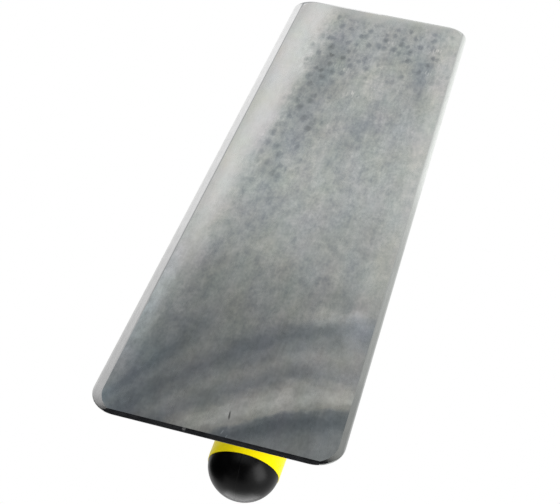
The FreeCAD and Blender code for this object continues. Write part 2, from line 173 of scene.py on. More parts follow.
# distances run from the heel edge and from the wide strip's edge, unless a note says otherwise
# a fade is where it starts and ends, then its value at both; two numbers alone run from 0 to 1
bladeSetup = {
    "shape": {
        "sideStripWide": 0.0039,    # ground strip along the -Y edge
        "sideStripNarrow": 0.0027,  # ground strip along the +Y edge
        "sideStripDepth": 0.0004,
        "endStrip": 0.0020,
        "endStripDepth": 0.0005,
        "cornerRadius": 0.012,
        "cornerSteps": 14,
        "edgeRound": 0.00012,
        "edgeSteps": 2,
        "roundedFrom": 40,          # degrees between the faces
        "smoothUpTo": 4,
    },
    # a slow wander of every tone, so that no band runs dead straight
    "wander": {
        "noise": {"scale": 11.0, "detail": 2.0},
        "along": 0.03,
        "across": 0.014,
        "sway": {"scale": 24.0, "shift": (2, 2, 0)},
        "drift": {"scale": 30.0, "shift": (5, 1, 0)},
    },
    # tones along the blade, as shares of its length: painted reflection, darker towards the heel
    "lengthTones": ((0.08, 0.170), (0.20, 0.196), (0.27, 0.243), (0.34, 0.326), (0.52, 0.402),
                    (0.75, 0.365), (1.0, 0.370)),
    # a fan of painted reflection streaks at the heel, light and dark: each follows a line where
    # start + perX x + perY y + perXX xx + perXY xy + perYY yy is constant
    "streaks": {
        "start": 1.37,
        "perX": 15.3,
        "perY": -29.5,
        "perXX": -160.0,
        "perXY": 233.0,
        "perYY": 57.0,
        "bendEnd": 0.058,           # further from the heel the value climbs evenly
        "climb": 14.0,
        "sway": 0.06,
        "fray": 0.035,
        "frayNoise": {"scale": 190.0, "shift": (4, 4, 0), "roughness": 0.6},
        "reach": (-0.5, 1.6),
        "tones": ((0.0, 0.165), (0.07, 0.155), (0.228, 0.098), (0.268, 0.125), (0.320, 0.235),
                  (0.365, 0.300), (0.412, 0.265), (0.460, 0.200), (0.505, 0.162),
                  (0.595, 0.195), (0.657, 0.160), (0.714, 0.128), (0.771, 0.140),
                  (0.81, 0.158), (0.881, 0.118), (0.952, 0.150), (1.0, 0.17)),
        "fade": (1.30, 1.60, 1.0, 0.0),
        "tipAcross": (0.020, 0.042),  # the outermost streak ends here
        "tipValue": (1.02, 1.22),
    },
    # a band of painted reflection beside the wide strip, with a painted highlight glowing along the
    # strip itself
    "band": {
        "tone": 0.60,
        "width": 0.0240,
        "soft": 0.0135,
        "sway": 0.002,
        "taper": (0.100, 0.290, 0.0075, -0.0010),
        "along": (0.040, 0.175),
        "glowTone": 0.46,
        "glowAcross": (0.0120, 0.004, 0.0, 0.75),
        "glowAlong": (0.015, 0.085, 0.25, 1.0),
    },
    # lighter margins of painted reflection, from the narrow strip's edge and from the toe
    "margin": {
        "tone": 0.56,
        "fromNarrow": (0.018, 0.004, 0.0, 0.55),
        "along": (0.060, 0.200, 0.15, 1.0),
        "fromToe": (0.013, 0.002, 0.0, 0.34),
    },
    # cloudy patches: place, reach each way, darkening
    "patches": ((0.255, 0.034, 0.120, 0.011, 0.20), (0.220, 0.060, 0.052, 0.010, 0.20),
                (0.297, 0.085, 0.030, 0.009, 0.20), (0.110, 0.028, 0.045, 0.014, 0.06),
                (0.006, 0.026, 0.016, 0.020, 0.10), (0.330, 0.026, 0.030, 0.010, -0.06),
                (0.062, 0.088, 0.026, 0.020, -0.32), (0.268, 0.058, 0.034, 0.006, -0.16),
                (0.305, 0.094, 0.040, 0.006, -0.06), (0.330, 0.070, 0.030, 0.018, 0.07),
                (0.150, 0.054, 0.045, 0.010, -0.05), (0.290, 0.025, 0.030, 0.011, -0.36),
                (0.290, 0.040, 0.055, 0.009, 0.09), (0.078, 0.088, 0.015, 0.020, -0.30),
                (0.042, 0.081, 0.013, 0.013, -0.17), (0.009, 0.038, 0.006, 0.009, 0.14),
                (0.064, 0.068, 0.016, 0.013, -0.14), (0.022, 0.074, 0.006, 0.009, -0.14)),
    "patchSway": (0.016, 0.007),
    "patchEdge": (1.25, 0.2),       # as shares of its reach
    # a dark rim along part of the heel edge
    "heelRim": {
        "along": (0.0080, 0.0020, 0.0, 0.26),
        "start": (0.011, 0.019),
        "end": (0.058, 0.044),
    },
    # uneven dots, thickest in a lane beside the band and towards the toe
    "dots": {
        "spacing": 0.0046,
        "stretch": 1.9,
        "strength": 0.30,
        "jitterNoise": {"scale": 420.0, "detail": 2.0, "output": "Color"},
        "jitter": (0.0020, 0.0015, 0.0),
        "radius": (0.2, 1.0, 0.22, 0.60),
        "rim": (1.1, 0.2),
        "picked": (0.25, 0.70),
        "laneMiddle": 0.031,
        "lane": (0.019, 0.006, 0.12, 0.80),
        "laneAlong": (0.130, 0.210, 0.15, 1.0),
        "toeAlong": (0.255, 0.295),
        "fromToe": (0.006, 0.013),
        "roughness": 0.15,
        "bump": (0.2, 0.00008),
    },
    # soft mottling, rub strokes and grinding grain, all running along the blade
    "mottling": {
        "blotchNoise": {"scale": 210.0, "stretch": (0.75, 1, 1), "shift": (1, 0, 0),
                        "detail": 2.5, "roughness": 0.55},
        "strokesNoise": {"scale": 520.0, "stretch": (0.22, 1, 1), "shift": (0, 2, 0),
                         "roughness": 0.55},
        "pepperNoise": {"scale": 780.0, "stretch": (0.6, 1, 1), "shift": (7, 0, 0),
                        "detail": 2.0},
        "rubsNoise": {"scale": 85.0, "stretch": (0.30, 1, 1), "shift": (0, 2, 0),
                      "detail": 4.0, "roughness": 0.6},
        "grainNoise": {"scale": 2600.0, "stretch": (0.05, 1, 1), "roughness": 0.7},
        "blotch": (-0.15, 0.13),
        "strokes": (-0.07, 0.07),
        "strokesAlong": (0.12, 0.28, 0.8, 1.7),
        "pepper": (-0.09, 0.09),
        "rubs": (-0.09, 0.11),
        "grain": (0.25, 0.75, -0.04, 0.04),
        "leftOnBand": 0.20,
        "leftInHeel": 0.75,
        "toeRim": (0.012, 0.0045),  # from the toe: the steel runs smooth up to its edge
        "leftOnToeRim": 0.2,
        "rimLight": (0.0055, 0.0002, 0.0, 0.20),
        "rimLightAcross": (0.034, 0.050),
        "roughness": (0.20, 0.32),
        "grainBump": (0.25, 0.00004),
    },
    # scratches: middle, lean, reach along and across, brightness left in them
    "scratches": ((0.0130, 0.0548, -0.293, 0.0024, 0.00045, 0.30),
                  (0.0046, 0.0550, 0.250, 0.0015, 0.00030, 1.70),
                  (0.0030, 0.0572, 0.250, 0.0012, 0.00030, 1.50),
                  (0.2610, 0.0552, 0.900, 0.0022, 0.00060, 0.72)),
    "scratchEdge": (1.0, 0.25),     # as shares of its squared reach
    # clusters of fine bright flecks
    "flecks": {
        "spots": ((0.3255, 0.0643), (0.3258, 0.0880), (0.2885, 0.0390), (0.2725, 0.0630),
                  (0.2620, 0.0530), (0.3000, 0.0870), (0.2860, 0.0450)),
        "reach": (0.0042, 0.0024),
        "noise": {"scale": 1000.0, "stretch": (0.16, 1, 1), "shift": (3, 1, 0), "detail": 1.0},
        "light": (0.54, 0.64, 0.0, 0.36),
    },
    # steel darker than its surroundings reads cool, lighter reads warm
    "tints": {
        "cool": colour(0.91, 0.99, 1.025),
        "plain": colour(0.950, 1.0, 0.975),
        "warm": colour(0.990, 1.0, 0.962),
        "coolShare": (0.68, 0.97),
        "warmShare": (1.02, 1.35),
        "heelCool": colour(0.865, 0.985, 1.10),
        "heelWarm": colour(1.000, 1.0, 0.945),
        "heelTones": (0.10, 0.22),
        "heelStrength": 0.8,
        "corner": colour(0.935, 1.0, 1.060),  # beside the wide strip, up to the band
        "cornerAcross": (0.024, 0.006),
        "cornerAlong": (0.135, 0.050),
        "hueNoise": {"scale": 75.0, "stretch": (0.45, 1, 1), "output": "Color"},
        "hueSwing": (0.16, 0.05, 0.20),
    },
    # tones of the ground side strips, as shares of the length: painted reflection, lighter towards
    # the toe
    "strips": {
        "wideTones": ((0.0, 0.40), (0.03, 0.50), (0.10, 0.54), (0.20, 0.60), (0.42, 0.72),
                      (0.85, 0.81), (1.0, 0.81)),
        "narrowTones": ((0.0, 0.28), (0.08, 0.28), (0.17, 0.37), (0.36, 0.46), (0.45, 0.54),
                        (0.56, 0.74), (1.0, 0.72)),
        "narrowTint": colour(0.97, 1.0, 0.965),
        # painted highlight towards the narrow strip's rim
        "narrowRim": 0.0004,
        "narrowGain": (0.80, 1.22),
        "narrowGainAlong": (0.40, 0.62),
        "lineTone": colour(0.20, 0.21, 0.215),
        "line": (0.0008, 0.0002, 0.0, 0.75),
        "lineAlong": (0.04, 0.22, 0.1, 1.0),
        "lineOnNarrow": 0.3,
        "toeLine": (0.0030, 0.0016, 0.0, 0.75),
        "toeLineAcross": (0.026, 0.008),
        "bendInset": (0.0030, 0.0018, 0.8),   # the line round the far corner, and its strength
        "bendAlong": (0.62, 0.35),            # as shares of the corner's radius
        "bendAcross": (1.0, 0.8),
        # painted highlight: the strips turn pale towards their outer rims
        "rimSheenTone": colour(0.92, 0.92, 0.91),
        "rimSheenWide": 0.0012,
        "rimSheenNarrow": 0.0008,
        "rimSheenStrength": 0.35,
        "grain": (0.92, 1.05),
        "nicks": (0.35, 0.7, -0.05, 0.05),
        "roughness": (0.22, 0.38),
        "middleFade": (-0.001, 0.001),        # where one strip's tones give way to the other's
        "grainNoise": {"scale": 3200.0, "stretch": (0.06, 1, 1)},
        "nicksNoise": {"scale": 220.0, "stretch": (0.4, 1, 1), "detail": 4.0},
        "grainBump": (0.3, 0.00004),
    },
    # the heel end's steel is painted near-black as shade, darkest on its upright wall
    "darkEdge": {
        "inner": colour(0.030, 0.031, 0.036),
        "outer": colour(0.105, 0.108, 0.118),
        "stain": colour(0.10, 0.10, 0.105),
        "stains": (0.45, 0.75, 0.0, 0.5),
        "upright": colour(0.018, 0.018, 0.020),
        "uprightBelow": 0.0002,
        "nick": (0.0012, 0.0405, 0.0),
        "nickReach": (0.0009, 0.0003),
        "nickTone": colour(0.5),
        "roughness": (0.34, 0.5),
        "grainNoise": {"scale": 2400.0, "stretch": (1, 0.08, 1)},
        "stainsNoise": {"scale": 160.0, "detail": 4.0},
        "grainBump": (0.3, 0.00004),
    },
    "back": {
        "dull": colour(0.40, 0.42, 0.43),
        "bright": colour(0.50, 0.51, 0.51),
        "grain": (0.25, 0.75, 0.90, 1.08),
        "smears": (0.4, 0.75, 0.0, -0.10),
        "cloud": (0.35, 0.65),
        "roughness": (0.24, 0.40),
        "grainNoise": {"scale": 2200.0, "stretch": (0.04, 1, 1), "detail": 4.0,
                       "roughness": 0.7},
        "smearsNoise": {"scale": 60.0, "stretch": (0.3, 1, 1), "shift": (2, 0, 0),
                        "detail": 5.0, "roughness": 0.65},
        "cloudNoise": {"scale": 22.0, "detail": 4.0},
        "grainBump": (0.35, 0.00005),
    },
}


def selectFaces(mesh, wanted):
    bpy.ops.object.mode_set(mode="OBJECT")
    for vertex in mesh.vertices:
        vertex.select = False
    for edge in mesh.edges:
        edge.select = False
    for face in mesh.polygons:
        face.select = bool(wanted(face))
    bpy.ops.object.mode_set(mode="EDIT")


def selectEdges(mesh, wanted):
    bpy.ops.object.mode_set(mode="OBJECT")
    for face in mesh.polygons:
        face.select = False
    for vertex in mesh.vertices:
        vertex.select = False
    for edge in mesh.edges:
        first, second = (mesh.vertices[index].co for index in edge.vertices)
        edge.select = bool(wanted(first, second))
    bpy.ops.object.mode_set(mode="EDIT")


def settle(piece):
    bpy.ops.object.mode_set(mode="OBJECT")
    bpy.ops.object.select_all(action="DESELECT")
    piece.select_set(True)
    bpy.context.view_layer.objects.active = piece
    bpy.ops.object.transform_apply(location=True, rotation=True, scale=True)


def bladeSlot(normal):
    # 0 sole, 1 ground strips, 2 dark heel end, 3 back
    if normal.z < -0.99995:
        return 0
    if normal.z < -0.5:
        return 2 if normal.x < -0.2 else 1
    if normal.z > 0.9:
        return 3
    return 2 if normal.x < -0.96 else 1


def makeBlade():
    shape = bladeSetup["shape"]
    low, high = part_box("blade")
    length = high[0] - low[0]
    width = high[1] - low[1]
    depth = shape["sideStripDepth"]
    bpy.ops.object.select_all(action="DESELECT")
    bpy.ops.mesh.primitive_cube_add(size=1.0)
    blade = bpy.context.object
    blade.name = "groundBlade"
    bpy.ops.transform.resize(value=(length, width, high[2] - low[2] - depth))
    blade.location = ((low[0] + high[0]) / 2, (low[1] + high[1]) / 2,
                      (low[2] + depth + high[2]) / 2)
    settle(blade)
    mesh = blade.data
    # round corners
    bpy.ops.object.mode_set(mode="EDIT")
    bpy.ops.mesh.select_mode(type="EDGE")
    selectEdges(mesh, lambda a, b: abs(a.z - b.z) > depth)
    bpy.ops.mesh.bevel(offset=shape["cornerRadius"], segments=shape["cornerSteps"],
                       affect="EDGES")
    # sole drawn down and narrowed, which leaves the side strips
    bpy.ops.mesh.select_mode(type="FACE")
    selectFaces(mesh, lambda face: face.normal.z < -0.9)
    wide, narrow = shape["sideStripWide"], shape["sideStripNarrow"]
    bpy.ops.mesh.extrude_region_move(TRANSFORM_OT_translate={"value": (0, 0, -depth)})
    bpy.ops.transform.resize(value=(1, (width - wide - narrow) / width, 1),
                             center_override=(0, (low[1] + high[1]) / 2, 0))
    bpy.ops.transform.translate(value=(0, (wide - narrow) / 2, 0))
    # end strips ground off at a slope
    slope = shape["endStripDepth"] / shape["endStrip"]
    for side in (-1, 1):
        bpy.ops.mesh.select_all(action="SELECT")
        bpy.ops.mesh.bisect(plane_co=(side * (length / 2 - shape["endStrip"]), 0, low[2]),
                            plane_no=(side * slope, 0, -1), use_fill=True, clear_outer=True)
    bpy.ops.mesh.select_all(action="SELECT")
    bpy.ops.mesh.remove_doubles(threshold=1e-6)
    bpy.ops.mesh.normals_make_consistent(inside=False)
    bpy.ops.object.mode_set(mode="OBJECT")
    for material in (makeSoleSteel(), makeStripSteel(), makeDarkEdge(), makeBackSteel()):
        mesh.materials.append(material)
    for face in mesh.polygons:
        face.material_index = bladeSlot(face.normal)
    rounding = blade.modifiers.new("edgeRound", "BEVEL")
    rounding.width = shape["edgeRound"]
    rounding.segments = shape["edgeSteps"]
    rounding.limit_method = "ANGLE"
    rounding.angle_limit = math.radians(shape["roundedFrom"])
    rounding.harden_normals = False
    bpy.ops.object.modifier_apply(modifier=rounding.name)
    bpy.ops.object.shade_smooth_by_angle(angle=math.radians(shape["smoothUpTo"]))
    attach(blade, "root")
    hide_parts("blade")
    return blade


def edgeDistances(tree, along, across):
    low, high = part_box("blade")
    return {"heel": calc(tree, "SUBTRACT", along, low[0]),
            "toe": calc(tree, "SUBTRACT", high[0], along),
            "wide": calc(tree, "SUBTRACT", across, low[1]),
            "narrow": calc(tree, "SUBTRACT", high[1], across),
            "share": remap(tree, along, low[0], high[0])}


def solePlaces(tree):
    look = bladeSetup["wander"]
    place = objectPlace(tree)
    straight = axis(tree, place, "X")
    wander = calc(tree, "SUBTRACT", layer(tree, **look["noise"]), 0.5)
    along = calc(tree, "MULTIPLY_ADD", wander, look["along"], straight)
    across = calc(tree, "MULTIPLY_ADD", wander, look["across"], axis(tree, place, "Y"))
    at = edgeDistances(tree, along, across)
    at["place"] = place
    at["across"] = across
    at["straightHeel"] = calc(tree, "SUBTRACT", straight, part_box("blade")[0][0])
    at["sway"] = layer(tree, **look["sway"])
    at["drift"] = layer(tree, **look["drift"])
    return at


def heelStreaks(tree, at):
    # painted reflection: light and dark streaks fanning out from the heel
    look = bladeSetup["streaks"]
    near = calc(tree, "MINIMUM", at["heel"], look["bendEnd"])
    inner = calc(tree, "MULTIPLY_ADD", near, look["perXX"], look["perX"])
    inner = calc(tree, "MULTIPLY_ADD", at["wide"], look["perXY"], inner)
    outer = calc(tree, "MULTIPLY_ADD", at["wide"], look["perYY"], look["perY"])
    streak = total(tree, calc(tree, "MULTIPLY", near, inner),
                   calc(tree, "MULTIPLY_ADD", at["wide"], outer, look["start"]))
    beyond = calc(tree, "SUBTRACT", at["heel"], near)
    streak = calc(tree, "MULTIPLY_ADD", beyond, look["climb"], streak)
    fray = layer(tree, **look["frayNoise"])
    streak = total(tree, streak, swing(tree, at["sway"], -look["sway"], look["sway"]),
                   swing(tree, fray, -look["fray"], look["fray"]))
    heelTone = toneRamp(tree, remap(tree, streak, *look["reach"]), look["tones"])
    inHeel = remap(tree, streak, *look["fade"], smooth=True)
    tip = product(tree, remap(tree, at["wide"], *look["tipAcross"], smooth=True),
                  remap(tree, streak, *look["tipValue"], smooth=True))
    return heelTone, product(tree, inHeel, calc(tree, "SUBTRACT", 1.0, tip))


def reflectionBand(tree, at, tone):
    # painted reflection band, and a painted highlight along the wide strip
    look = bladeSetup["band"]
    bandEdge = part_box("blade")[0][1] + bladeSetup["shape"]["sideStripWide"] + look["width"]
    swayed = total(tree, at["across"], swing(tree, at["drift"], -look["sway"], look["sway"]),
                   remap(tree, at["heel"], *look["taper"]))
    band = product(tree, remap(tree, swayed, bandEdge, bandEdge - look["soft"], smooth=True),
                   remap(tree, at["heel"], *look["along"], smooth=True))
    tone = mixColour(tree, band, tone, colour(look["tone"]))
    glow = product(tree, remap(tree, at["wide"], *look["glowAcross"], smooth=True),
                   remap(tree, at["heel"], *look["glowAlong"], smooth=True))
    return mixColour(tree, glow, tone, colour(look["glowTone"])), band


def paleMargins(tree, at, tone):
    # painted reflection: the steel lightens towards the narrow strip and the toe
    look = bladeSetup["margin"]
    margin = product(tree, remap(tree, at["narrow"], *look["fromNarrow"], smooth=True),
                     remap(tree, at["heel"], *look["along"]))
    margin = calc(tree, "MAXIMUM", margin, remap(tree, at["toe"], *look["fromToe"], smooth=True))
    return mixColour(tree, margin, tone, colour(look["tone"])), margin


def cloudyPatches(tree, at):
    swayAlong, swayAcross = bladeSetup["patchSway"]
    swayed = flatPoint(tree,
                       total(tree, at["heel"], swing(tree, at["sway"], -swayAlong, swayAlong)),
                       total(tree, at["wide"], swing(tree, at["drift"], -swayAcross, swayAcross)))
    clouds = []
    for fromHeel, fromWide, reachAlong, reachAcross, darkening in bladeSetup["patches"]:
        offset = vectorCalc(tree, "SUBTRACT", swayed, (fromHeel, fromWide, 0.0))
        offset = vectorCalc(tree, "MULTIPLY", offset, (1.0 / reachAlong, 1.0 / reachAcross, 0.0))
        distance = vectorCalc(tree, "LENGTH", offset, output="Value")
        clouds.append(remap(tree, distance, *bladeSetup["patchEdge"], 0.0, darkening, smooth=True))
    return total(tree, *clouds)


def heelRim(tree, at):
    look = bladeSetup["heelRim"]
    return product(tree, remap(tree, at["straightHeel"], *look["along"]),
                   remap(tree, at["wide"], *look["start"]),
                   remap(tree, at["wide"], *look["end"]))


def steelDots(tree, at):
    look = bladeSetup["dots"]
    jitter = layer(tree, **look["jitterNoise"])
    jitter = vectorCalc(tree, "SUBTRACT", jitter, (0.5, 0.5, 0.5))
    shaken = vectorCalc(tree, "MULTIPLY_ADD", jitter, look["jitter"], at["place"])
    spacing = look["spacing"]
    scaled = vectorCalc(tree, "MULTIPLY", shaken,
                        (1.0 / (spacing * look["stretch"]), 1.0 / spacing, 0.0))
    cells = addNode(tree, "ShaderNodeTexVoronoi", {"Vector": scaled, "Scale": 1.0},
                    voronoi_dimensions="2D")
    pick = addNode(tree, "ShaderNodeSeparateColor", {0: cells.outputs["Color"]}).outputs[0]
    spot = calc(tree, "DIVIDE", cells.outputs["Distance"], remap(tree, pick, *look["radius"]))
    lane = calc(tree, "ABSOLUTE", calc(tree, "SUBTRACT", at["wide"], look["laneMiddle"]))
    lane = product(tree, remap(tree, lane, *look["lane"], smooth=True),
                   remap(tree, at["heel"], *look["laneAlong"], smooth=True))
    byToe = remap(tree, at["heel"], *look["toeAlong"], smooth=True)
    return product(tree, remap(tree, spot, *look["rim"], smooth=True),
                   remap(tree, pick, *look["picked"]), calc(tree, "MAXIMUM", lane, byToe),
                   remap(tree, at["toe"], *look["fromToe"]), look["strength"])


def mottling(tree, at, plain, inHeel, rubs, grain):
    look = bladeSetup["mottling"]
    lift = total(tree, swing(tree, layer(tree, **look["blotchNoise"]), *look["blotch"]),
                 product(tree, swing(tree, layer(tree, **look["strokesNoise"]), *look["strokes"]),
                         remap(tree, at["heel"], *look["strokesAlong"])),
                 swing(tree, layer(tree, **look["pepperNoise"]), *look["pepper"]),
                 swing(tree, rubs, *look["rubs"]))
    toeRim = remap(tree, at["toe"], *look["toeRim"])
    lift = product(tree, lift, remap(tree, plain, 0.0, 1.0, look["leftOnBand"], 1.0),
                   remap(tree, inHeel, 0.0, 1.0, 1.0, look["leftInHeel"]),
                   remap(tree, toeRim, 0.0, 1.0, 1.0, look["leftOnToeRim"]))
    rimLight = product(tree, remap(tree, at["toe"], *look["rimLight"]),
                       remap(tree, at["wide"], *look["rimLightAcross"]))
    return total(tree, lift, rimLight, remap(tree, grain, *look["grain"]))


def scratched(tree, at, gain):
    for fromHeel, fromWide, lean, reachAlong, reachAcross, left in bladeSetup["scratches"]:
        stepX = calc(tree, "SUBTRACT", at["heel"], fromHeel)
        stepY = calc(tree, "SUBTRACT", at["wide"], fromWide)
        lengthwise = calc(tree, "MULTIPLY_ADD", stepY, lean, stepX)
        sideways = calc(tree, "MULTIPLY_ADD", stepX, -lean, stepY)
        distance = total(tree,
                         calc(tree, "POWER", calc(tree, "DIVIDE", lengthwise, reachAlong), 2.0),
                         calc(tree, "POWER", calc(tree, "DIVIDE", sideways, reachAcross), 2.0))
        gain = product(tree, gain, remap(tree, distance, *bladeSetup["scratchEdge"], 1.0, left))
    return gain


def flecked(tree, at, gain):
    look = bladeSetup["flecks"]
    point = flatPoint(tree, at["heel"], at["wide"])
    nearSpots = 0.0
    for fromHeel, fromWide in look["spots"]:
        distance = vectorCalc(tree, "DISTANCE", point, (fromHeel, fromWide, 0.0), output="Value")
        nearSpots = calc(tree, "MAXIMUM", nearSpots, remap(tree, distance, *look["reach"]))
    flecks = product(tree, remap(tree, layer(tree, **look["noise"]), *look["light"]), nearSpots)
    return product(tree, gain, total(tree, flecks, 1.0))


def soleTint(tree, at, lit, plainTone, heelTone, inHeel):
    look = bladeSetup["tints"]
    share = calc(tree, "DIVIDE", addNode(tree, "ShaderNodeRGBToBW", {0: lit}).outputs[0],
                 addNode(tree, "ShaderNodeRGBToBW", {0: plainTone}).outputs[0])
    tint = mixColour(tree, remap(tree, share, *look["coolShare"]), look["cool"], look["plain"])
    tint = mixColour(tree, remap(tree, share, *look["warmShare"]), tint, look["warm"])
    heelTint = mixColour(tree, remap(tree, heelTone, *look["heelTones"]), look["heelCool"],
                         look["heelWarm"])
    tint = mixColour(tree, product(tree, inHeel, look["heelStrength"]), tint, heelTint)
    corner = product(tree, remap(tree, at["wide"], *look["cornerAcross"]),
                     remap(tree, at["heel"], *look["cornerAlong"]))
    tint = mixColour(tree, corner, tint, look["corner"], blend="MULTIPLY")
    # faint drifts of hue along the blade
    hue = vectorCalc(tree, "SUBTRACT", layer(tree, **look["hueNoise"]), (0.5, 0.5, 0.5))
    hue = vectorCalc(tree, "MULTIPLY_ADD", hue, look["hueSwing"], (1.0, 1.0, 1.0))
    return mixColour(tree, 1.0, tint, hue, blend="MULTIPLY")


def makeSoleSteel():
    look = bladeSetup["mottling"]
    material, tree, shader = newMaterial("soleSteel", metallic=1.0)
    at = solePlaces(tree)
    heelTone, inHeel = heelStreaks(tree, at)
    # painted reflection: the tones along the blade, with the painted heel streaks
    plainTone = mixColour(tree, inHeel, toneRamp(tree, at["share"], bladeSetup["lengthTones"]),
                          heelTone)
    tone, band = reflectionBand(tree, at, plainTone)
    tone, margin = paleMargins(tree, at, tone)
    plain = calc(tree, "SUBTRACT", 1.0, calc(tree, "MAXIMUM", band, margin))
    dots = steelDots(tree, at)
    dark = product(tree, total(tree, dots, total(tree, cloudyPatches(tree, at), heelRim(tree, at))),
                   plain)
    rubs = layer(tree, **look["rubsNoise"])
    grain = layer(tree, **look["grainNoise"])
    lift = mottling(tree, at, plain, inHeel, rubs, grain)
    gain = product(tree, total(tree, lift, 1.0), calc(tree, "SUBTRACT", 1.0, dark))
    gain = flecked(tree, at, scratched(tree, at, gain))
    lit = scaleColour(tree, tone, gain)
    tint = soleTint(tree, at, lit, plainTone, heelTone, inHeel)
    rough = calc(tree, "MULTIPLY_ADD", dots, bladeSetup["dots"]["roughness"],
                 swing(tree, rubs, *look["roughness"]))
    fine = bump(tree, grain, *look["grainBump"])
    setFinish(tree, shader, mixColour(tree, 1.0, lit, tint, blend="MULTIPLY"), rough,
              bump(tree, dots, *bladeSetup["dots"]["bump"], normal=fine))
    return material


def stripTone(tree, at, onNarrow):
    look = bladeSetup["strips"]
    # painted reflection along both strips
    tone = mixColour(tree, onNarrow, toneRamp(tree, at["share"], look["wideTones"]),
                     toneRamp(tree, at["share"], look["narrowTones"]))
    # painted highlight: the narrow strip brightens towards its rim in the far half
    gain = remap(tree, at["narrow"], bladeSetup["shape"]["sideStripNarrow"], look["narrowRim"],
                 *look["narrowGain"])
    gain = total(tree, product(tree, calc(tree, "SUBTRACT", gain, 1.0),
                               remap(tree, at["share"], *look["narrowGainAlong"])), 1.0)
    gain = calc(tree, "MAXIMUM", gain, calc(tree, "SUBTRACT", 1.0, onNarrow))
    return mixColour(tree, onNarrow, scaleColour(tree, tone, gain), look["narrowTint"],
                     blend="MULTIPLY")


def stripLine(tree, at, onNarrow):
    # a thin dark line where each side strip meets the sole
    look, shape = bladeSetup["strips"], bladeSetup["shape"]
    toWide = calc(tree, "SUBTRACT", at["wide"], shape["sideStripWide"])
    toNarrow = calc(tree, "SUBTRACT", at["narrow"], shape["sideStripNarrow"])
    toLine = calc(tree, "MINIMUM", calc(tree, "ABSOLUTE", toWide), calc(tree, "ABSOLUTE", toNarrow))
    return product(tree, remap(tree, toLine, *look["line"], smooth=True),
                   remap(tree, onNarrow, 0.0, 1.0, 1.0, look["lineOnNarrow"]),
                   remap(tree, at["share"], *look["lineAlong"]))


def toeLine(tree, at):
    # the line runs on along the toe and follows the far corner's bend
    look, radius = bladeSetup["strips"], bladeSetup["shape"]["cornerRadius"]
    line = product(tree, remap(tree, at["toe"], *look["toeLine"]),
                   remap(tree, at["wide"], *look["toeLineAcross"]))
    fromBend = vectorCalc(tree, "DISTANCE", flatPoint(tree, at["toe"], at["wide"]),
                          (radius, radius, 0.0), output="Value")
    insetStart, insetEnd, strength = look["bendInset"]
    bend = product(tree,
                   remap(tree, fromBend, radius - insetStart, radius - insetEnd, 0.0, strength),
                   remap(tree, at["toe"], *[radius * share for share in look["bendAlong"]]),
                   remap(tree, at["wide"], *[radius * share for share in look["bendAcross"]]))
    return calc(tree, "MAXIMUM", line, bend)


def makeStripSteel():
    look = bladeSetup["strips"]
    material, tree, shader = newMaterial("stripSteel", metallic=1.0)
    place = objectPlace(tree)
    across = axis(tree, place, "Y")
    at = edgeDistances(tree, axis(tree, place, "X"), across)
    onNarrow = remap(tree, across, *look["middleFade"])
    tone = stripTone(tree, at, onNarrow)
    for line in (stripLine(tree, at, onNarrow), toeLine(tree, at)):
        tone = mixColour(tree, line, tone, look["lineTone"])
    # painted highlight: the strips turn pale towards their outer rims
    rimSheen = calc(tree, "MAXIMUM", remap(tree, at["wide"], look["rimSheenWide"], 0.0, smooth=True),
                remap(tree, at["narrow"], look["rimSheenNarrow"], 0.0, smooth=True))
    tone = mixColour(tree, product(tree, rimSheen, look["rimSheenStrength"]), tone, look["rimSheenTone"])
    grain = layer(tree, **look["grainNoise"])
    nicks = layer(tree, **look["nicksNoise"])
    gain = total(tree, swing(tree, grain, *look["grain"]), remap(tree, nicks, *look["nicks"]))
    setFinish(tree, shader, scaleColour(tree, tone, gain), swing(tree, nicks, *look["roughness"]),
              bump(tree, grain, *look["grainBump"]))
    return material


def makeDarkEdge():
    look, shape = bladeSetup["darkEdge"], bladeSetup["shape"]
    material, tree, shader = newMaterial("darkEdge", metallic=1.0)
    place = objectPlace(tree)
    at = edgeDistances(tree, axis(tree, place, "X"), axis(tree, place, "Y"))
    grain = layer(tree, **look["grainNoise"])
    stains = layer(tree, **look["stainsNoise"])
    # painted shade: near-black steel, darkest on the upright wall
    tone = mixColour(tree, remap(tree, at["heel"], shape["endStrip"], 0.0), look["inner"],
                     look["outer"])
    tone = mixColour(tree, remap(tree, stains, *look["stains"]), tone, look["stain"])
    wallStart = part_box("blade")[0][2] + shape["endStripDepth"]
    upright = remap(tree, axis(tree, place, "Z"), wallStart - look["uprightBelow"], wallStart)
    tone = mixColour(tree, upright, tone, look["upright"])
    # one bright nick
    fromNick = vectorCalc(tree, "DISTANCE", flatPoint(tree, at["heel"], at["wide"]), look["nick"],
                          output="Value")
    tone = mixColour(tree, remap(tree, fromNick, *look["nickReach"]), tone, look["nickTone"])
    setFinish(tree, shader, tone, swing(tree, stains, *look["roughness"]),
              bump(tree, grain, *look["grainBump"]))
    return material


def makeBackSteel():
    look = bladeSetup["back"]
    material, tree, shader = newMaterial("backSteel", metallic=1.0)
    grain = layer(tree, **look["grainNoise"])
    smears = layer(tree, **look["smearsNoise"])
    cloud = remap(tree, layer(tree, **look["cloudNoise"]), *look["cloud"])
    tone = mixColour(tree, cloud, look["dull"], look["bright"])
    gain = total(tree, remap(tree, grain, *look["grain"]), remap(tree, smears, *look["smears"]))
    setFinish(tree, shader, scaleColour(tree, tone, gain), swing(tree, smears, *look["roughness"]),
              bump(tree, grain, *look["grainBump"]))
    return material


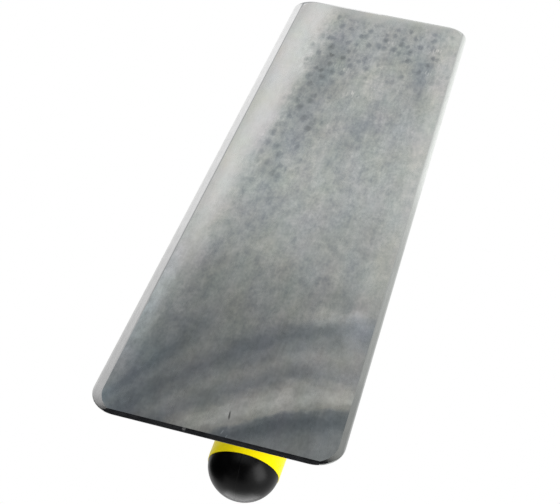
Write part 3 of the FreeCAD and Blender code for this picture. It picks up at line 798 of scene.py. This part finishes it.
castLook = {
    "dull": colour(0.50, 0.51, 0.53),
    "bright": colour(0.60, 0.60, 0.61),
    "skin": (0.92, 1.05),
    "skinNoise": {"scale": 900.0, "detail": 5.0, "roughness": 0.65},
    "skinBump": (0.35, 0.00012),
    "cloud": (0.35, 0.65),
    "cloudNoise": {"scale": 55.0, "detail": 4.0},
    "pitScale": 420.0,
    "pitReach": (0.16, 0.05),
    "pitBump": (-0.4, 0.0001),
    "leftInPits": 0.72,
    # painted shade: the casting darkens in its hollows and where parts meet
    "hollowShadeReach": 0.010,
    "hollowShade": (0.25, 0.95, 0.45, 1.0),
    "roughness": (0.34, 0.50),
}


def makeCastAluminium():
    material, tree, shader = newMaterial("castAluminium", metallic=1.0)
    skin = layer(tree, **castLook["skinNoise"])
    cloud = layer(tree, **castLook["cloudNoise"])
    cells = addNode(tree, "ShaderNodeTexVoronoi", {"Vector": objectPlace(tree),
                                                   "Scale": castLook["pitScale"]})
    pits = remap(tree, cells.outputs["Distance"], *castLook["pitReach"])
    # painted shade in hollows, from ambient occlusion
    aoShade = addNode(tree, "ShaderNodeAmbientOcclusion", {"Distance": castLook["hollowShadeReach"]})
    tone = mixColour(tree, remap(tree, cloud, *castLook["cloud"]), castLook["dull"],
                     castLook["bright"])
    gain = product(tree, remap(tree, aoShade.outputs["AO"], *castLook["hollowShade"]),
                   swing(tree, skin, *castLook["skin"]),
                   remap(tree, pits, 0.0, 1.0, 1.0, castLook["leftInPits"]))
    rough = bump(tree, skin, *castLook["skinBump"])
    setFinish(tree, shader, scaleColour(tree, tone, gain),
              swing(tree, cloud, *castLook["roughness"]),
              bump(tree, pits, *castLook["pitBump"], normal=rough))
    return material


brightLooks = {
    "peenedSteel": {"bright": colour(0.52, 0.53, 0.54), "dull": colour(0.40, 0.40, 0.41),
                    "roughness": (0.22, 0.42), "stains": (0.35, 0.7),
                    "stainNoise": {"scale": 240.0, "detail": 4.0},
                    "grainNoise": {"scale": 900.0, "detail": 4.0, "roughness": 0.6},
                    "grainBump": (0.3, 0.00008)},
    "zincSteel": {"bright": colour(0.66, 0.67, 0.70), "dull": colour(0.55, 0.54, 0.50),
                  "roughness": (0.16, 0.32), "stains": (0.35, 0.7),
                  "stainNoise": {"scale": 240.0, "detail": 4.0},
                  "grainNoise": {"scale": 600.0, "detail": 4.0, "roughness": 0.6},
                  "grainBump": (0.3, 0.00008)},
}


def makeBrightMetal(name):
    look = brightLooks[name]
    material, tree, shader = newMaterial(name, metallic=1.0)
    stain = layer(tree, **look["stainNoise"])
    grain = layer(tree, **look["grainNoise"])
    tone = mixColour(tree, remap(tree, stain, *look["stains"]), look["bright"], look["dull"])
    setFinish(tree, shader, tone, swing(tree, grain, *look["roughness"]),
              bump(tree, grain, *look["grainBump"]))
    return material


def seamLine(tree, halfWidth):
    # mould parting line in the upright middle plane of the handle
    low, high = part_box("handle_core")
    middle = (low[1] + high[1]) / 2
    across = axis(tree, objectPlace(tree), "Y")
    offset = calc(tree, "ABSOLUTE", calc(tree, "SUBTRACT", across, middle))
    return remap(tree, offset, halfWidth, 0.0, smooth=True)


yellowLook = {
    "body": colour(0.95, 0.815, 0.001),
    "deep": colour(0.92, 0.74, 0.001),
    # painted shade in creases and where the handle meets other parts
    "creaseShade": colour(0.22, 0.17, 0.01),
    "creaseShadeReach": 0.003,
    "creaseShadeFade": (0.35, 0.85, 0.55, 0.0),
    "scuff": colour(0.35, 0.30, 0.05),
    "scuffs": (0.62, 0.8, 0.0, 0.12),
    "roughness": (0.28, 0.40),
    "specular": 0.07,
    "cloudNoise": {"scale": 45.0},
    "scuffsNoise": {"scale": 260.0, "stretch": (0.3, 1, 1), "detail": 5.0, "roughness": 0.7},
    "peelNoise": {"scale": 700.0},
    "peelBump": (0.12, 0.0001),
    "seam": 0.0003,
    "seamBump": (0.5, 0.0001),
}


def makeYellowPlastic():
    material, tree, shader = newMaterial("yellowPlastic")
    shader.inputs["Specular IOR Level"].default_value = yellowLook["specular"]
    cloud = layer(tree, **yellowLook["cloudNoise"])
    scuffs = layer(tree, **yellowLook["scuffsNoise"])
    aoShade = addNode(tree, "ShaderNodeAmbientOcclusion", {"Distance": yellowLook["creaseShadeReach"]})
    tone = mixColour(tree, swing(tree, cloud, 0.0, 1.0), yellowLook["body"], yellowLook["deep"])
    # painted shade from ambient occlusion, dark where parts meet
    tone = mixColour(tree, remap(tree, aoShade.outputs["AO"], *yellowLook["creaseShadeFade"]), tone,
                     yellowLook["creaseShade"])
    tone = mixColour(tree, remap(tree, scuffs, *yellowLook["scuffs"]), tone, yellowLook["scuff"])
    skin = bump(tree, layer(tree, **yellowLook["peelNoise"]), *yellowLook["peelBump"])
    seam = seamLine(tree, yellowLook["seam"])
    setFinish(tree, shader, tone, swing(tree, scuffs, *yellowLook["roughness"]),
              bump(tree, seam, *yellowLook["seamBump"], normal=skin))
    return material


rubberLook = {
    "body": colour(0.0010, 0.0010, 0.0011),
    "dusty": colour(0.003, 0.003, 0.0032),
    "roughness": (0.28, 0.35),
    "specular": 0.13,
    "dust": (0.45, 0.75),
    "dustNoise": {"scale": 130.0, "detail": 5.0, "roughness": 0.65},
    "grainNoise": {"scale": 1800.0, "detail": 2.0},
    "grainBump": (0.2, 0.00008),
    "seam": 0.0004,
    "seamBump": (0.6, 0.00012),
}


def makeBlackRubber():
    material, tree, shader = newMaterial("blackRubber")
    shader.inputs["Specular IOR Level"].default_value = rubberLook["specular"]
    dust = layer(tree, **rubberLook["dustNoise"])
    tone = mixColour(tree, remap(tree, dust, *rubberLook["dust"]), rubberLook["body"],
                     rubberLook["dusty"])
    skin = bump(tree, layer(tree, **rubberLook["grainNoise"]), *rubberLook["grainBump"])
    seam = seamLine(tree, rubberLook["seam"])
    setFinish(tree, shader, tone, swing(tree, dust, *rubberLook["roughness"]),
              bump(tree, seam, *rubberLook["seamBump"], normal=skin))
    return material


def dress(material, *nodeNames):
    for nodeName in nodeNames:
        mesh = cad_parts[nodeName].data
        mesh.materials.clear()
        mesh.materials.append(material)


bpy.ops.object.select_all(action="DESELECT")
makeBlade()
print("blade done")
dress(makeCastAluminium(), "mounting_casting")
dress(makeBrightMetal("peenedSteel"), "studs", "cross_pin")
dress(makeBrightMetal("zincSteel"), "tang_rod", "front_washer", "end_washer", "end_nut")
dress(makeYellowPlastic(), "handle_core")
dress(makeBlackRubber(), "palm_pad", "end_cap")
print("materials done")

floorSetup = {"size": 30.0, "tone": 0.88, "roughness": 0.9, "drop": 0.0003, "fade": (0.35, 1.3)}


def makeFloor():
    bpy.ops.object.select_all(action="DESELECT")
    bpy.ops.mesh.primitive_plane_add(size=floorSetup["size"],
                                     location=(0, 0, -floorSetup["drop"]))
    floor = bpy.context.object
    floor.name = "studioFloor"
    material, tree, shader = newMaterial("paleFloor")
    shader.inputs["Base Color"].default_value = colour(floorSetup["tone"])
    shader.inputs["Roughness"].default_value = floorSetup["roughness"]
    # away from the object the floor turns into the white of the backdrop
    place = addNode(tree, "ShaderNodeTexCoord").outputs["Object"]
    reach = vectorCalc(tree, "LENGTH", place, output="Value")
    fade = remap(tree, reach, *floorSetup["fade"], smooth=True)
    white = addNode(tree, "ShaderNodeEmission", {"Color": colour(1.0)})
    sheet = addNode(tree, "ShaderNodeMixShader", {0: fade, 1: shader.outputs[0],
                                                  2: white.outputs[0]})
    # the floor is there for a camera above it; all other rays pass, so the sole gets its light
    path = addNode(tree, "ShaderNodeLightPath").outputs["Is Camera Ray"]
    backside = addNode(tree, "ShaderNodeNewGeometry").outputs["Backfacing"]
    seen = calc(tree, "MULTIPLY", path, calc(tree, "SUBTRACT", 1.0, backside))
    clear = addNode(tree, "ShaderNodeBsdfTransparent")
    mix = addNode(tree, "ShaderNodeMixShader", {0: seen, 1: clear.outputs[0], 2: sheet.outputs[0]})
    output = next(node for node in tree.nodes if node.type == "OUTPUT_MATERIAL")
    tree.links.new(mix.outputs[0], output.inputs["Surface"])
    floor.data.materials.append(material)


# black cards which only mirror-like rays see: place, turn in degrees, size
cardSetup = {
    "lowCard": ((-0.9, -0.3, -1.0), (0.0, 0.0, 0.0), (2.6, 3.0)),
    "backCard": ((-2.2, -0.5, -0.35), (0.0, 90.0, 0.0), (1.5, 2.6)),
    "sideCard": ((-0.7, -1.7, 0.40), (90.0, 0.0, 0.0), (2.8, 2.6)),
}


def makeCards():
    material, tree, shader = newMaterial("blackCard")
    shader.inputs["Base Color"].default_value = colour(0.005)
    shader.inputs["Roughness"].default_value = 1.0
    shader.inputs["Specular IOR Level"].default_value = 0.0
    for name, (place, turn, size) in cardSetup.items():
        bpy.ops.object.select_all(action="DESELECT")
        bpy.ops.mesh.primitive_plane_add(size=1.0, location=place,
                                         rotation=[math.radians(angle) for angle in turn])
        card = bpy.context.object
        card.name = name
        card.scale = (size[0], size[1], 1.0)
        settle(card)
        card.data.materials.append(material)
        card.visible_camera = False
        card.visible_diffuse = False
        card.visible_shadow = False


# strength of the white surround as the camera and mirror-like rays see it, and as soft light
worldSetup = {"seen": 1.0, "soft": 0.6}


def makeWorld():
    world = bpy.data.worlds.new("whiteStudio")
    bpy.context.scene.world = world
    world.use_nodes = True
    tree = world.node_tree
    background = next(node for node in tree.nodes if node.type == "BACKGROUND")
    path = addNode(tree, "ShaderNodeLightPath")
    white = calc(tree, "MAXIMUM", path.outputs["Is Camera Ray"], path.outputs["Is Glossy Ray"])
    white = calc(tree, "MAXIMUM", white, path.outputs["Is Transmission Ray"])
    background.inputs["Color"].default_value = colour(1.0)
    strength = remap(tree, white, 0.0, 1.0, worldSetup["soft"], worldSetup["seen"])
    tree.links.new(strength, background.inputs["Strength"])


lampSetup = {
    "topLamp": {"place": (-0.5, 0.05, 1.55), "aim": (0, 0, 0.03), "wide": 1.3, "tall": 1.0,
                "power": 15.0},
    "sideLamp": {"place": (-0.88, 1.38, -0.36), "aim": (-0.1, 0, 0.05), "wide": 0.9, "tall": 1.5,
                 "power": 24.5},
}


def makeLamp(name):
    setup = lampSetup[name]
    lamp = bpy.data.lights.new(name, "AREA")
    lamp.shape = "RECTANGLE"
    lamp.size = setup["wide"]
    lamp.size_y = setup["tall"]
    lamp.energy = setup["power"]
    holder = bpy.data.objects.new(name, lamp)
    bpy.context.scene.collection.objects.link(holder)
    holder.location = setup["place"]
    direction = Vector(setup["aim"]) - Vector(setup["place"])
    holder.rotation_euler = direction.to_track_quat("-Z", "Y").to_euler()


cameraSetup = {"place": (-0.5082, 0.0810, -0.3657), "turn": (-128.951, 3.878, 74.658),
               "lens": 83.42, "shiftX": 0.0536, "sensor": 36.0, "nearest": 0.01}


def makeCamera():
    camera = bpy.data.cameras.new("mainCamera")
    camera.sensor_width = cameraSetup["sensor"]
    camera.lens = cameraSetup["lens"]
    camera.shift_x = cameraSetup["shiftX"]
    camera.clip_start = cameraSetup["nearest"]
    holder = bpy.data.objects.new("mainCamera", camera)
    bpy.context.scene.collection.objects.link(holder)
    holder.location = cameraSetup["place"]
    holder.rotation_euler = [math.radians(angle) for angle in cameraSetup["turn"]]
    bpy.context.scene.camera = holder


makeFloor()
makeCards()
makeWorld()
for lampName in lampSetup:
    makeLamp(lampName)
makeCamera()
bpy.context.scene.view_settings.view_transform = "Standard"
print("stage done")
